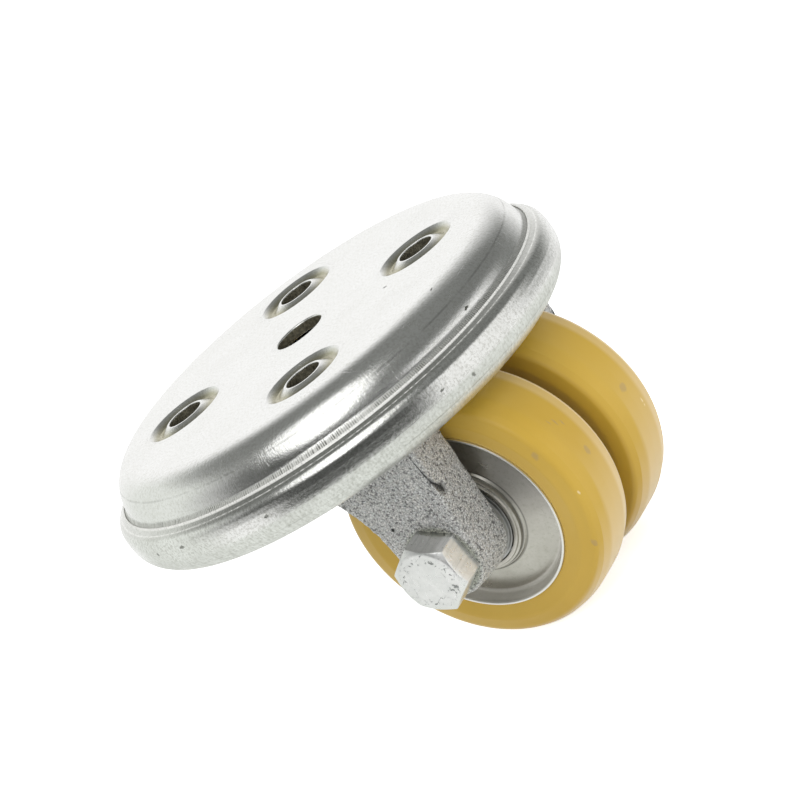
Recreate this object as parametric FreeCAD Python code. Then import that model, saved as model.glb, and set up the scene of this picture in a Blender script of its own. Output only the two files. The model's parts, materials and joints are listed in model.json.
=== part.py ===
import FreeCAD, Part
import math
import os

# Twin-wheel swivel caster with a round pressed head plate, in millimetres.
# Origin: centre of the plate's mounting face. +Z is up, the axle lies along Y, the wheels trail towards +X.

# Head plate
plate_thickness = 4.0
plate_flat_radius = 72.0
shoulder_radius = 14.0
shoulder_turn_deg = 80.0
flare_radius = 4.5
flare_end_deg = 53.0
rim_slope_drop = 3.7
centre_hole_radius = 9.4
bolt_circle_radius = 50.0
bolt_hole_radius = 6.75
bolt_hole_count = 4
bolt_hole_phase_deg = 34.0
recess_radius = 15.2
recess_floor_radius = 12.4
recess_depth = 2.2
collar_base_radius = 11.3
collar_rim_width = 0.9
collar_drop = 0.1

# Retaining ring crimped round the plate's rim
ring_overhang = 6.5
ring_wall = 3.0
bead_radius = 11.0
bead_drop = 6.3
crown_drop = 4.8
bead_crown_radius = 22.0
lip_setback = 1.75
lip_edge_height = 1.0
lip_edge_width = 1.0
crease_rise = 5.5
ring_lip_reach = 2.0
rim_fit = 0.05

# Swivel bearing: two rows of balls, above and below the fork's flange
upper_ball_radius = 4.75
upper_ball_count = 8
upper_contact_deg = 45.0
lower_ball_radius = 3.5
lower_ball_count = 8
lower_contact_deg = -60.0
ball_clearance = 0.06
flange_running_gap = 0.7
groove_lip_drop = 2.0

# Fork
crown_top_depth = 8.5
crown_bottom_depth = 25.5
crown_bore_radius = 12.0
arm_thickness = 17.5
arm_wheel_gap = 3.2
arm_ring_gap = 0.5
arm_end_radius = 16.7
arm_front_x = 58.7
arm_rear_x = 3.7
arm_waist = 1.9
arm_waist_depth = 57.3
arm_shoulder_depth = 32.3
arm_outer_inset = 2.6
arm_mid_inset = 0.9
arm_mid_share = 0.62
arm_root_inset_share = 0.15
face_recess_depth = 0.7
face_recess_top_x = 55.7
face_recess_low_x = 50.9
face_recess_low_depth = 62.3

# Axle
axle_offset = 37.1
axle_depth = 77.0
shank_radius = 8.5
shank_clearance = 0.04
thread_radius = 8.0
thread_length = 21.5
thread_chamfer = 1.2
hex_across_flats = 24.0
head_height = 11.4
head_turn_deg = 4.5
head_chamfer_deg = 30.0
hex_face_share = 0.97
nut_height = 12.0
nut_collar_height = 3.6
nut_collar_inset = 1.8
nut_collar_wall = 1.2
insert_bore_gap = 0.1
washer_radius = 15.0
washer_thickness = 3.0

# Wheels and their bearings
wheel_radius = 49.5
wheel_width = 28.0
wheel_gap = 8.6
tread_edge_radius = 8.0
tread_side_dip = 0.8
hub_rim_radius = 35.3
hub_rim_width = 0.8
dish_radius = 31.0
dish_depth = 5.0
boss_radius = 19.5
boss_drop = 1.0
bearing_radius = 17.5
bearing_width = 10.0
outer_ring_wall = 2.6
inner_ring_wall = 2.4
bearing_shoulder = 2.0
shield_thickness = 0.9
shield_inset = 0.4
shield_gap = 0.25
spacer_wall = 2.6
cover_radius = 17.2
cover_step = 1.4
cover_gap = 0.6


def on_circle(centre, radius, angle_deg):
    """Point of a circle in a profile's own plane."""
    angle = math.radians(angle_deg)
    return (centre[0] + radius * math.cos(angle), centre[1] + radius * math.sin(angle))


# Worked-out places
plate_wall_radius = plate_flat_radius + shoulder_radius
plate_inner_wall_radius = plate_wall_radius - plate_thickness
ring_outer_radius = plate_wall_radius + ring_overhang
rim_radius = ring_outer_radius - ring_wall - rim_fit
shoulder_centre = (plate_flat_radius, -shoulder_radius)
flare_centre = on_circle(shoulder_centre, shoulder_radius + flare_radius, 90 - shoulder_turn_deg)
flare_end = on_circle(flare_centre, flare_radius, 270 - flare_end_deg)
rim_top_z = flare_end[1] - rim_slope_drop
rim_bottom_z = rim_top_z - plate_thickness
bead_centre_radius = ring_outer_radius - bead_radius
bead_centre_z = rim_top_z - bead_drop
crown_centre_z = rim_top_z - crown_drop
bead_inner_radius = bead_radius - ring_wall
ring_opening_radius = bead_centre_radius - ring_lip_reach
ring_bottom_z = bead_centre_z - bead_radius
axle_z = -axle_depth
wheel_outer_y = wheel_gap / 2 + wheel_width
arm_inner_y = wheel_outer_y + arm_wheel_gap
arm_outer_y = arm_inner_y + arm_thickness
axle_bore_radius = shank_radius + shank_clearance
inner_ring_radius = axle_bore_radius + inner_ring_wall
race_radius = bearing_radius - outer_ring_wall
spacer_radius = axle_bore_radius + spacer_wall
nut_collar_radius = hex_across_flats / 2 - nut_collar_inset
nut_insert_radius = nut_collar_radius - nut_collar_wall
bearing_middle = wheel_gap / 2 + wheel_width / 2
bearing_inset = boss_drop
bearing_gap_half = wheel_width / 2 - bearing_inset - bearing_width
cut_margin = 1.0
axis_up = FreeCAD.Vector(0, 0, 1)
axis_axle = FreeCAD.Vector(0, 1, 0)
axle_point = FreeCAD.Vector(axle_offset, 0, axle_z)
sides = {"left": -1, "right": 1}


def closed_face(steps, place):
    """Face bounded by lines and three-point arcs; a step is an end point, or a middle and an end point."""
    edges = []
    start = place(*steps[0][-1])
    here = start
    for step in steps[1:]:
        end = place(*step[-1])
        if len(step) == 2:
            edges.append(Part.Arc(here, place(*step[0]), end).toShape())
        else:
            edges.append(Part.LineSegment(here, end).toShape())
        here = end
    if here.distanceToPoint(start) > 1e-6:
        edges.append(Part.LineSegment(here, start).toShape())
    return Part.Face(Part.Wire(edges))


def turned_about_z(steps):
    """Solid turned about the swivel axis from a profile of (radius, height) steps."""
    face = closed_face(steps, lambda radius, height: FreeCAD.Vector(radius, 0, height))
    return face.revolve(FreeCAD.Vector(0, 0, 0), axis_up, 360)


def turned_about_axle(steps):
    """Solid turned about the axle from a profile of (radius, place along the axle) steps."""
    face = closed_face(steps, lambda radius, y: FreeCAD.Vector(axle_offset + radius, y, axle_z))
    return face.revolve(axle_point, axis_axle, 360)


def axle_cylinder(radius, start_y, end_y):
    """Cylinder on the axle between two places along it."""
    base = FreeCAD.Vector(axle_offset, min(start_y, end_y), axle_z)
    return Part.makeCylinder(radius, abs(end_y - start_y), base, axis_axle)


def axle_sleeve(inner_radius, outer_radius, start_y, end_y):
    """Plain ring on the axle."""
    return axle_cylinder(outer_radius, start_y, end_y).cut(axle_cylinder(inner_radius, start_y, end_y))


def axle_hexagon(across_flats, start_y, end_y, turn_deg):
    """Hexagonal prism on the axle with a corner near the top."""
    corner = across_flats / math.sqrt(3)
    points = []
    for i in range(7):
        angle = math.radians(90 + turn_deg + 60 * i)
        x, z = axle_offset + corner * math.cos(angle), axle_z + corner * math.sin(angle)
        points.append(FreeCAD.Vector(x, start_y, z))
    face = Part.Face(Part.makePolygon(points))
    return face.extrude(FreeCAD.Vector(0, end_y - start_y, 0))


def hexagon_chamfer(across_flats, face_y, back_y, chamfer_deg):
    """Turned blank that rounds the corners of a hexagon at its free face."""
    flat_radius = across_flats / 2 * hex_face_share
    corner = across_flats / math.sqrt(3) + cut_margin
    direction = 1 if back_y > face_y else -1
    fall = (corner - flat_radius) * math.tan(math.radians(chamfer_deg)) * direction
    return turned_about_axle([
        [(0, face_y)],
        [(flat_radius, face_y)],
        [(corner, face_y + fall)],
        [(corner, back_y)],
        [(0, back_y)],
    ])


def bolt_hole_places():
    """Centres of the plate's mounting holes."""
    places = []
    for i in range(bolt_hole_count):
        angle_deg = bolt_hole_phase_deg + 360 / bolt_hole_count * i
        places.append(on_circle((0, 0), bolt_circle_radius, angle_deg))
    return places


def top_plate():
    """Pressed dish: flat top, rounded shoulder, and a flared rim that the retaining ring grips."""
    inner_shoulder = shoulder_radius - plate_thickness
    turn_deg = 90 - shoulder_turn_deg
    flare_mid_deg = 270 - (shoulder_turn_deg + flare_end_deg) / 2
    dish = turned_about_z([
        [(centre_hole_radius, 0)],
        [(plate_flat_radius, 0)],
        [
            on_circle(shoulder_centre, shoulder_radius, (90 + turn_deg) / 2),
            on_circle(shoulder_centre, shoulder_radius, turn_deg),
        ],
        [on_circle(flare_centre, flare_radius, flare_mid_deg), flare_end],
        [(rim_radius, rim_top_z)],
        [(rim_radius, rim_bottom_z)],
        [(plate_inner_wall_radius, rim_bottom_z)],
        [(plate_inner_wall_radius, -shoulder_radius)],
        [on_circle(shoulder_centre, inner_shoulder, 45), (plate_flat_radius, -plate_thickness)],
        [(centre_hole_radius, -plate_thickness)],
    ])
    for x, y in bolt_hole_places():
        place = FreeCAD.Vector(x, y, 0)
        seat = recess_radius + plate_thickness / 2
        blank = Part.makeCylinder(seat, plate_thickness, place - axis_up * plate_thickness)
        stamped = bolt_boss(seat)
        stamped.translate(place)
        dish = dish.cut(blank).fuse(stamped)
    return dish.removeSplitter()


def bolt_boss(seat):
    """Stamped seat of one mounting hole: a dished recess whose conical collar rises back to the face."""
    collar_top = bolt_hole_radius + collar_rim_width
    floor_z = -recess_depth
    under_z = floor_z - plate_thickness
    hollow_z = -plate_thickness + collar_drop
    return turned_about_z([
        [(seat, 0)],
        [(recess_radius, 0)],
        [(recess_floor_radius, floor_z)],
        [(collar_base_radius, floor_z)],
        [(collar_top, -collar_drop)],
        [(bolt_hole_radius, -collar_drop)],
        [(bolt_hole_radius, hollow_z)],
        [(collar_base_radius, under_z)],
        [(recess_floor_radius, under_z)],
        [(seat, -plate_thickness)],
    ])


def rim_slope_z(radius):
    """Height of the plate's sloped rim at a radius."""
    return flare_end[1] - rim_slope_drop * (radius - flare_end[0]) / (rim_radius - flare_end[0])


def retaining_ring():
    """Rolled ring: a cut lip on the plate's rim, and a half-round bead that curls under the lower balls."""
    bead_centre = (bead_centre_radius, bead_centre_z)
    crown_centre = (ring_outer_radius - bead_crown_radius, crown_centre_z)
    crease_angle = math.degrees(math.asin(crease_rise / bead_crown_radius))
    crease = on_circle(crown_centre, bead_crown_radius, crease_angle)
    lip_inner = plate_wall_radius + lip_setback
    lip_low_z = rim_slope_z(lip_inner) + rim_fit
    lip_top_z = lip_low_z + lip_edge_height
    rim_seat = rim_radius + rim_fit
    return turned_about_z([
        [(lip_inner, lip_top_z)],
        [(lip_inner, lip_low_z)],
        [(rim_seat, rim_top_z + rim_fit)],
        [(rim_seat, bead_centre_z)],
        [on_circle(bead_centre, bead_inner_radius, -45), (bead_centre_radius, ring_bottom_z + ring_wall)],
        [(ring_opening_radius, ring_bottom_z + ring_wall)],
        [(ring_opening_radius, ring_bottom_z)],
        [(bead_centre_radius, ring_bottom_z)],
        [on_circle(bead_centre, bead_radius, -45), (ring_outer_radius, bead_centre_z)],
        [(ring_outer_radius, crown_centre_z)],
        [on_circle(crown_centre, bead_crown_radius, crease_angle / 2), crease],
        [(lip_inner + lip_edge_width, lip_top_z)],
    ])


def upper_ball_centre():
    """Centre of the upper row: the balls roll in the inside of the plate's shoulder."""
    reach = shoulder_radius - plate_thickness - upper_ball_radius - ball_clearance
    return on_circle(shoulder_centre, reach, upper_contact_deg)


def lower_ball_centre():
    """Centre of the lower row: the balls roll in the inside of the ring's bead."""
    reach = bead_inner_radius - lower_ball_radius - ball_clearance
    return on_circle((bead_centre_radius, bead_centre_z), reach, lower_contact_deg)


def ball_row(centre, radius, count):
    """Balls evenly spaced round the swivel axis."""
    balls = []
    for i in range(count):
        x, y = on_circle((0, 0), centre[0], 360 / count * i)
        balls.append(Part.makeSphere(radius, FreeCAD.Vector(x, y, centre[1])))
    return Part.makeCompound(balls)


def fork_crown():
    """Round crown with a vee groove for the upper balls and a bevelled nose over the lower balls."""
    upper = upper_ball_centre()
    lower = lower_ball_centre()
    upper_reach = (upper_ball_radius + ball_clearance) * math.sqrt(2)
    lower_reach = (lower_ball_radius + ball_clearance) * math.sqrt(2)
    groove_floor_z = upper[1] - upper_reach
    flange_radius = plate_inner_wall_radius - flange_running_gap
    lip_radius = flange_radius - groove_lip_drop
    nose_top = rim_bottom_z - flange_running_gap
    nose_radius = lower[0] - lower_reach + nose_top - lower[1]
    bevel_foot_radius = lower[0] - lower_reach - crown_bottom_depth - lower[1]
    return turned_about_z([
        [(crown_bore_radius, -crown_top_depth)],
        [(upper[0] - (-crown_top_depth - groove_floor_z), -crown_top_depth)],
        [(upper[0], groove_floor_z)],
        [(lip_radius, groove_floor_z + lip_radius - upper[0])],
        [(flange_radius, groove_floor_z + lip_radius - upper[0])],
        [(flange_radius, nose_top)],
        [(nose_radius, nose_top)],
        [(bevel_foot_radius, -crown_bottom_depth)],
        [(crown_bore_radius, -crown_bottom_depth)],
    ])


def arm_wire(y, inset):
    """Outline of one fork arm at a place along the axle; the draft draws in its leading edge."""
    top_z = -(crown_top_depth + crown_bottom_depth) / 2
    rear_x = axle_offset - arm_end_radius
    lead_x = axle_offset + arm_end_radius - inset
    steps = [
        [(arm_rear_x, top_z)],
        [(arm_rear_x, -arm_shoulder_depth)],
        [(rear_x - arm_waist, -arm_waist_depth), (rear_x, axle_z)],
        [((rear_x + lead_x) / 2, axle_z - arm_end_radius + inset / 2), (lead_x, axle_z)],
        [(arm_front_x - inset * arm_root_inset_share, top_z)],
    ]
    return closed_face(steps, lambda x, z: FreeCAD.Vector(x, y, z)).OuterWire


def ring_surround():
    """Room taken by the retaining ring and all outside it, kept free of the arms."""
    low_z = ring_bottom_z - arm_ring_gap
    base = FreeCAD.Vector(0, 0, low_z)
    outside = Part.makeCylinder(2 * ring_outer_radius, -low_z, base)
    return outside.cut(Part.makeCylinder(ring_opening_radius - arm_ring_gap, -low_z, base))


def fork_arm(side):
    """Thick cast arm that carries one end of the axle, with a raised border along its leading edge."""
    mid_y = arm_inner_y + arm_thickness * arm_mid_share
    sections = [(arm_inner_y, 0), (mid_y, arm_mid_inset), (arm_outer_y, arm_outer_inset)]
    arm = Part.makeLoft([arm_wire(side * y, inset) for y, inset in sections], True, True)
    arm = arm.cut(ring_surround())
    top_z = -crown_top_depth
    outer = side * arm_outer_y
    recess = closed_face(
        [
            [(arm_rear_x - arm_end_radius, top_z)],
            [(arm_rear_x - arm_end_radius, -face_recess_low_depth)],
            [(face_recess_low_x, -face_recess_low_depth)],
            [(face_recess_top_x, -arm_shoulder_depth)],
            [(face_recess_top_x, top_z)],
        ],
        lambda x, z: FreeCAD.Vector(x, outer, z),
    )
    return arm.cut(recess.extrude(FreeCAD.Vector(0, -side * face_recess_depth, 0)))


def fork():
    """One casting: crown, two arms and the axle bores."""
    body = fork_crown()
    for side in sides.values():
        body = body.fuse(fork_arm(side))
    bore = axle_cylinder(axle_bore_radius, -arm_outer_y - cut_margin, arm_outer_y + cut_margin)
    return body.cut(bore).removeSplitter()


def axle_bolt():
    """Hexagon fit bolt: head on the left arm, plain shank through both arms, thread under the nut."""
    head_face = -arm_outer_y - head_height
    head = axle_hexagon(hex_across_flats, head_face, -arm_outer_y, head_turn_deg)
    head = head.common(hexagon_chamfer(hex_across_flats, head_face, -arm_outer_y, head_chamfer_deg))
    shank_end = arm_outer_y - shank_radius + thread_radius
    thread_end = arm_outer_y + thread_length
    shaft = turned_about_axle([
        [(0, -arm_outer_y - head_height / 2)],
        [(shank_radius, -arm_outer_y - head_height / 2)],
        [(shank_radius, shank_end)],
        [(thread_radius, shank_end + shank_radius - thread_radius)],
        [(thread_radius, thread_end - thread_chamfer)],
        [(thread_radius - thread_chamfer, thread_end)],
        [(0, thread_end)],
    ])
    return head.fuse(shaft).removeSplitter()


def nut_start():
    """Place along the axle where the nut seats on its washer."""
    return arm_outer_y + washer_thickness


def axle_nut():
    """Self-locking hexagon nut with a round collar for its insert."""
    start = nut_start()
    hex_end = start + nut_height
    collar_end = hex_end + nut_collar_height
    body = axle_hexagon(hex_across_flats, start, hex_end, 0)
    body = body.common(hexagon_chamfer(hex_across_flats, hex_end, start, head_chamfer_deg))
    body = body.common(hexagon_chamfer(hex_across_flats, start, hex_end, head_chamfer_deg))
    body = body.fuse(axle_sleeve(nut_insert_radius, nut_collar_radius, hex_end, collar_end))
    return body.cut(axle_cylinder(thread_radius, start, hex_end)).removeSplitter()


def nut_insert():
    """Locking ring inside the nut's collar."""
    start = nut_start() + nut_height
    end = start + nut_collar_height - insert_bore_gap
    return axle_sleeve(thread_radius + insert_bore_gap, nut_insert_radius, start, end)


def wheel_edges(side):
    """Outer and inner end of one wheel along the axle."""
    return side * wheel_outer_y, side * wheel_gap / 2


def tread(side):
    """Cast polyurethane tyre with well rounded edges and slightly hollow sides."""
    outer, inner = wheel_edges(side)
    flank = wheel_radius - tread_edge_radius
    round_outer = (flank, outer - side * tread_edge_radius)
    round_inner = (flank, inner + side * tread_edge_radius)
    return turned_about_axle([
        [(hub_rim_radius, outer - side * tread_side_dip)],
        [(flank, outer)],
        [on_circle(round_outer, tread_edge_radius, side * 45), (wheel_radius, round_outer[1])],
        [(wheel_radius, round_inner[1])],
        [on_circle(round_inner, tread_edge_radius, -side * 45), (flank, inner)],
        [(hub_rim_radius, inner + side * tread_side_dip)],
    ])


def hub(side):
    """Turned hub: thin rim, dished web on both faces, and a boss bored for two bearings."""
    outer, inner = wheel_edges(side)
    rim_inner = hub_rim_radius - hub_rim_width
    bore_shoulder = bearing_radius - bearing_shoulder
    seat_depth = side * (bearing_inset + bearing_width)
    return turned_about_axle([
        [(hub_rim_radius, inner)],
        [(hub_rim_radius, outer)],
        [(rim_inner, outer)],
        [(dish_radius, outer - side * dish_depth)],
        [(boss_radius, outer - side * boss_drop)],
        [(bearing_radius, outer - side * boss_drop)],
        [(bearing_radius, outer - seat_depth)],
        [(bore_shoulder, outer - seat_depth)],
        [(bore_shoulder, inner + seat_depth)],
        [(bearing_radius, inner + seat_depth)],
        [(bearing_radius, inner + side * boss_drop)],
        [(boss_radius, inner + side * boss_drop)],
        [(dish_radius, inner + side * dish_depth)],
        [(rim_inner, inner)],
    ])


def bearing_places(side):
    """Start and end of the two bearings of one wheel along the axle."""
    outer, inner = wheel_edges(side)
    first = outer - side * bearing_inset
    second = inner + side * bearing_inset
    return [(first, first - side * bearing_width), (second, second + side * bearing_width)]


def outer_rings(side):
    """Outer rings of one wheel's bearings, pressed into the hub."""
    places = bearing_places(side)
    return Part.makeCompound([axle_sleeve(race_radius, bearing_radius, a, b) for a, b in places])


def inner_rings(side):
    """Inner rings of one wheel's bearings, clamped on the axle."""
    places = bearing_places(side)
    return Part.makeCompound([axle_sleeve(axle_bore_radius, inner_ring_radius, a, b) for a, b in places])


def bearing_shields(side):
    """Metal shields held in the outer rings, both faces of each bearing."""
    shields = []
    for a, b in bearing_places(side):
        inward = 1 if b > a else -1
        for face, way in ((a, inward), (b, -inward)):
            start = face + way * shield_inset
            end = start + way * shield_thickness
            shields.append(axle_sleeve(inner_ring_radius + shield_gap, race_radius, start, end))
    return Part.makeCompound(shields)


def arm_spacer(side):
    """Spacer between a fork arm and the outer bearing; its stepped flange covers the bearing."""
    start = wheel_edges(side)[0] - side * bearing_inset
    end = side * arm_inner_y
    cover = start + side * cover_gap
    step = (cover + end) / 2
    return turned_about_axle([
        [(axle_bore_radius, start)],
        [(spacer_radius, start)],
        [(spacer_radius, cover)],
        [(cover_radius, cover)],
        [(cover_radius, step)],
        [(cover_radius - cover_step, step)],
        [(cover_radius - cover_step, end)],
        [(axle_bore_radius, end)],
    ])


def bearing_spacer(side):
    """Spacer between the two bearings of one wheel."""
    middle = side * bearing_middle
    start, end = middle - bearing_gap_half, middle + bearing_gap_half
    return axle_sleeve(axle_bore_radius, spacer_radius, start, end)


def centre_spacer():
    """Spacer that keeps the wheels apart."""
    reach = wheel_gap / 2 + bearing_inset
    return axle_sleeve(axle_bore_radius, spacer_radius, -reach, reach)


def all_parts():
    """Every separate piece by name."""
    parts = {
        "top_plate": top_plate(),
        "retaining_ring": retaining_ring(),
        "upper_balls": ball_row(upper_ball_centre(), upper_ball_radius, upper_ball_count),
        "lower_balls": ball_row(lower_ball_centre(), lower_ball_radius, lower_ball_count),
        "fork": fork(),
        "axle_bolt": axle_bolt(),
        "axle_nut": axle_nut(),
        "nut_insert": nut_insert(),
        "nut_washer": axle_sleeve(axle_bore_radius, washer_radius, arm_outer_y, nut_start()),
        "centre_spacer": centre_spacer(),
    }
    for name, side in sides.items():
        parts[name + "_tread"] = tread(side)
        parts[name + "_hub"] = hub(side)
        parts[name + "_outer_rings"] = outer_rings(side)
        parts[name + "_inner_rings"] = inner_rings(side)
        parts[name + "_bearing_shields"] = bearing_shields(side)
        parts[name + "_arm_spacer"] = arm_spacer(side)
        parts[name + "_bearing_spacer"] = bearing_spacer(side)
    return parts


os.makedirs("parts", exist_ok=True)
for part_name, shape in all_parts().items():
    shape.exportStep(os.path.join("parts", part_name + ".step"))
    print(part_name, "solids", len(shape.Solids), "valid", shape.isValid(), "volume", round(shape.Volume))
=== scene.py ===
import json
import math
import bpy
import bmesh
from mathutils import Matrix, Vector, geometry, noise


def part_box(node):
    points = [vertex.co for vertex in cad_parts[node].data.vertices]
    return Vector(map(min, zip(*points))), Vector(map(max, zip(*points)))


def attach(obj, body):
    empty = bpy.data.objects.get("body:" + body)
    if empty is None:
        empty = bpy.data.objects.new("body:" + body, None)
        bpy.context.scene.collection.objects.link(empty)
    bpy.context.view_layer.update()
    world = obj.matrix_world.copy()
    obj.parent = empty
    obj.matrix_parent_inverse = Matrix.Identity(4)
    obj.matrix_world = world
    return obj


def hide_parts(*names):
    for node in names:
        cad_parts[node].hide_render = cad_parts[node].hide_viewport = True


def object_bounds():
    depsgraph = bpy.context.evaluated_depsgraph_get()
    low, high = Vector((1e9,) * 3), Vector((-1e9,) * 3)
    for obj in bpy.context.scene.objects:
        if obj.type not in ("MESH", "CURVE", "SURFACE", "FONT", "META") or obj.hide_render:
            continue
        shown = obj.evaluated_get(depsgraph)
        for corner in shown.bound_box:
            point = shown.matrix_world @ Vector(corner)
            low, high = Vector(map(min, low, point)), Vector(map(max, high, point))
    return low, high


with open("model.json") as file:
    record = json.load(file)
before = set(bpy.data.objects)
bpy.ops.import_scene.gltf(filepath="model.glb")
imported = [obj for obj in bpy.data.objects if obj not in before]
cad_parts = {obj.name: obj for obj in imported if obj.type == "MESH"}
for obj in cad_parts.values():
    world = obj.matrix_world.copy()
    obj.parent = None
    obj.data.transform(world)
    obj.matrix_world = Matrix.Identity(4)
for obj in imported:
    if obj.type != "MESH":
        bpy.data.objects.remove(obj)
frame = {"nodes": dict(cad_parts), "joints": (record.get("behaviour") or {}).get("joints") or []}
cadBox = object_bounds()
scene = bpy.context.scene
mm = 0.001
upAxis, axleAxis = (0, 0, 1), (0, 1, 0)
wheelJoints = {joint["child"]: joint for joint in frame["joints"]}
axlePoint = Vector(wheelJoints["left_wheel"]["pos_m"])
axlePoint.y = 0
boltLow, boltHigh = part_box("axle_bolt")
plateHoles = {"circle": 50.0, "count": 4, "phase": 34.0, "bolt": 6.75, "centre": 9.4}
boltTurns = [math.radians(plateHoles["phase"] + 360 / plateHoles["count"] * i) for i in range(plateHoles["count"])]
boltSpots = [Vector((math.cos(turn), math.sin(turn), 0)) * plateHoles["circle"] * mm for turn in boltTurns]
print("frame loaded:", len(frame["nodes"]), "nodes")


# node helpers

class Value:  # a node's output that takes plain arithmetic
    def __init__(self, socket):
        self.socket, self.tree = socket, socket.id_data

    def __add__(self, other):
        return mathNode("ADD", self, other)

    def __sub__(self, other):
        return mathNode("SUBTRACT", self, other)

    def __rsub__(self, other):
        return mathNode("SUBTRACT", other, self)

    def __mul__(self, other):
        return mathNode("MULTIPLY", self, other)

    def ramp(self, low, high, toLow=0.0, toHigh=1.0):
        limits = {"Value": self, "From Min": low, "From Max": high, "To Min": toLow, "To Max": toHigh}
        return Value(addNode(self.tree, "ShaderNodeMapRange", limits, clamp=True).outputs["Result"])

    def band(self, low, high, soft):  # one between two values
        return self.ramp(low - soft, low + soft) * self.ramp(high + soft, high - soft)


def feed(value, socket):
    if isinstance(value, bpy.types.Node):
        value = value.outputs[0]
    if isinstance(value, Value):
        value = value.socket
    if isinstance(value, bpy.types.NodeSocket):
        socket.id_data.links.new(value, socket)
    else:
        socket.default_value = value


def addNode(tree, kind, inputs=None, **settings):
    node = tree.nodes.new(kind)
    for key, value in settings.items():
        setattr(node, key, value)
    for key, value in (inputs or {}).items():
        feed(value, node.inputs[key])
    return node


def mathNode(operation, *parts):
    tree = next(part.tree for part in parts if isinstance(part, Value))
    return Value(addNode(tree, "ShaderNodeMath", dict(enumerate(parts)), operation=operation).outputs[0])


def larger(a, b):
    return mathNode("MAXIMUM", a, b)


def vectorNode(operation, first, *others):
    node = addNode(first.tree, "ShaderNodeVectorMath", dict(enumerate((first,) + others)), operation=operation)
    return Value(node.outputs["Value" if operation in ("LENGTH", "DOT_PRODUCT") else "Vector"])


def layered(tree, tone, *layers):  # colours laid over one another, each by its share
    for share, colour, *blend in layers:
        mixed = {"Factor": share, 6: tone, 7: colour}
        node = addNode(tree, "ShaderNodeMix", mixed, data_type="RGBA", blend_type=blend[0] if blend else "MIX")
        tone = Value(node.outputs[2])
    return tone


def noiseNode(spot, scale, detail=3.0, roughness=0.55, distortion=0.0, output="Fac"):
    values = {"Vector": spot, "Scale": scale, "Detail": detail, "Roughness": roughness, "Distortion": distortion}
    return Value(addNode(spot.tree, "ShaderNodeTexNoise", values).outputs[output])


def cellNode(spot, scale, feature="F1"):
    return addNode(spot.tree, "ShaderNodeTexVoronoi", {"Vector": spot, "Scale": scale}, feature=feature)


def cellValues(spot, scale):  # distance in a cell, and two values of its own
    cells = cellNode(spot, scale)
    pick = addNode(spot.tree, "ShaderNodeSeparateColor", {0: cells.outputs["Color"]})
    return Value(cells.outputs["Distance"]), Value(pick.outputs["Red"]), Value(pick.outputs["Green"])


def stretch(spot, scale):
    return Value(addNode(spot.tree, "ShaderNodeMapping", {"Vector": spot, "Scale": scale}).outputs["Vector"])


def shaken(spot, scale, reach):  # place bent by a noise
    return vectorNode("MULTIPLY_ADD", noiseNode(spot, scale, 2.0, output="Color"), (reach,) * 3, spot)


def axisValue(spot, axis):
    return Value(addNode(spot.tree, "ShaderNodeSeparateXYZ", {0: spot}).outputs[axis])


def reachFrom(spot, centre, axis):  # distance from a line through a point
    return vectorNode("LENGTH", vectorNode("CROSS_PRODUCT", vectorNode("SUBTRACT", spot, centre), axis))


def scarMask(spot, scars):  # dents at given places: centre and half-lengths in millimetres
    moved = shaken(spot, 900.0, 1.0 * mm)
    found = 0.0
    for centre, half in scars:
        away = vectorNode("SUBTRACT", moved, [(value + 0.5) * mm for value in centre])
        scaled = vectorNode("DIVIDE", away, [value * mm for value in half])
        found = larger(vectorNode("LENGTH", scaled).ramp(1.0, 0.6), found)
    return found


def newGroup(name, vectors, numbers, outputs):
    group = bpy.data.node_groups.new(name, "ShaderNodeTree")
    for label in vectors:
        group.interface.new_socket(label, in_out="INPUT", socket_type="NodeSocketVector")
    for label, default in numbers.items():
        group.interface.new_socket(label, in_out="INPUT", socket_type="NodeSocketFloat").default_value = default
    for label in outputs:
        group.interface.new_socket(label, in_out="OUTPUT", socket_type="NodeSocketFloat")
    given = addNode(group, "NodeGroupInput")
    return group, [Value(given.outputs[label]) for label in [*vectors, *numbers]]


def useGroup(tree, group, values):
    node = addNode(tree, "ShaderNodeGroup", values, node_tree=group)
    return [Value(socket) for socket in node.outputs]


# effects that several finishes share

def handlingGroup():  # soft blotches, hair scratches and small nicks
    numbers = {"Blotch Scale": 40.0, "Nick Scale": 90.0, "Nick Share": 0.06}
    group, (spot, blotchScale, nickScale, nickShare) = newGroup(
        "handlingMarks", ["Vector"], numbers, ["Blotch", "Scratch", "Nick"])
    blotch = noiseNode(spot, blotchScale, 5.0, 0.6, 0.4).ramp(0.32, 0.7)
    hairs = [noiseNode(stretch(spot, scale), 1.0, 2.0, 0.5, 0.6).ramp(0.66, 0.74)
             for scale in ((900, 30, 500), (60, 1100, 300))]
    scratch = larger(*hairs) * noiseNode(spot, 70.0, 2.0).ramp(0.45, 0.7)
    distance, chance, spread = cellValues(shaken(spot, 400.0, 1.2 * mm), nickScale)
    chosen = mathNode("LESS_THAN", chance, nickShare)
    nick = mathNode("LESS_THAN", distance, spread.ramp(0.0, 1.0, 0.03, 0.085)) * chosen
    addNode(group, "NodeGroupOutput", {"Blotch": blotch, "Scratch": scratch, "Nick": nick})
    return group


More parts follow.
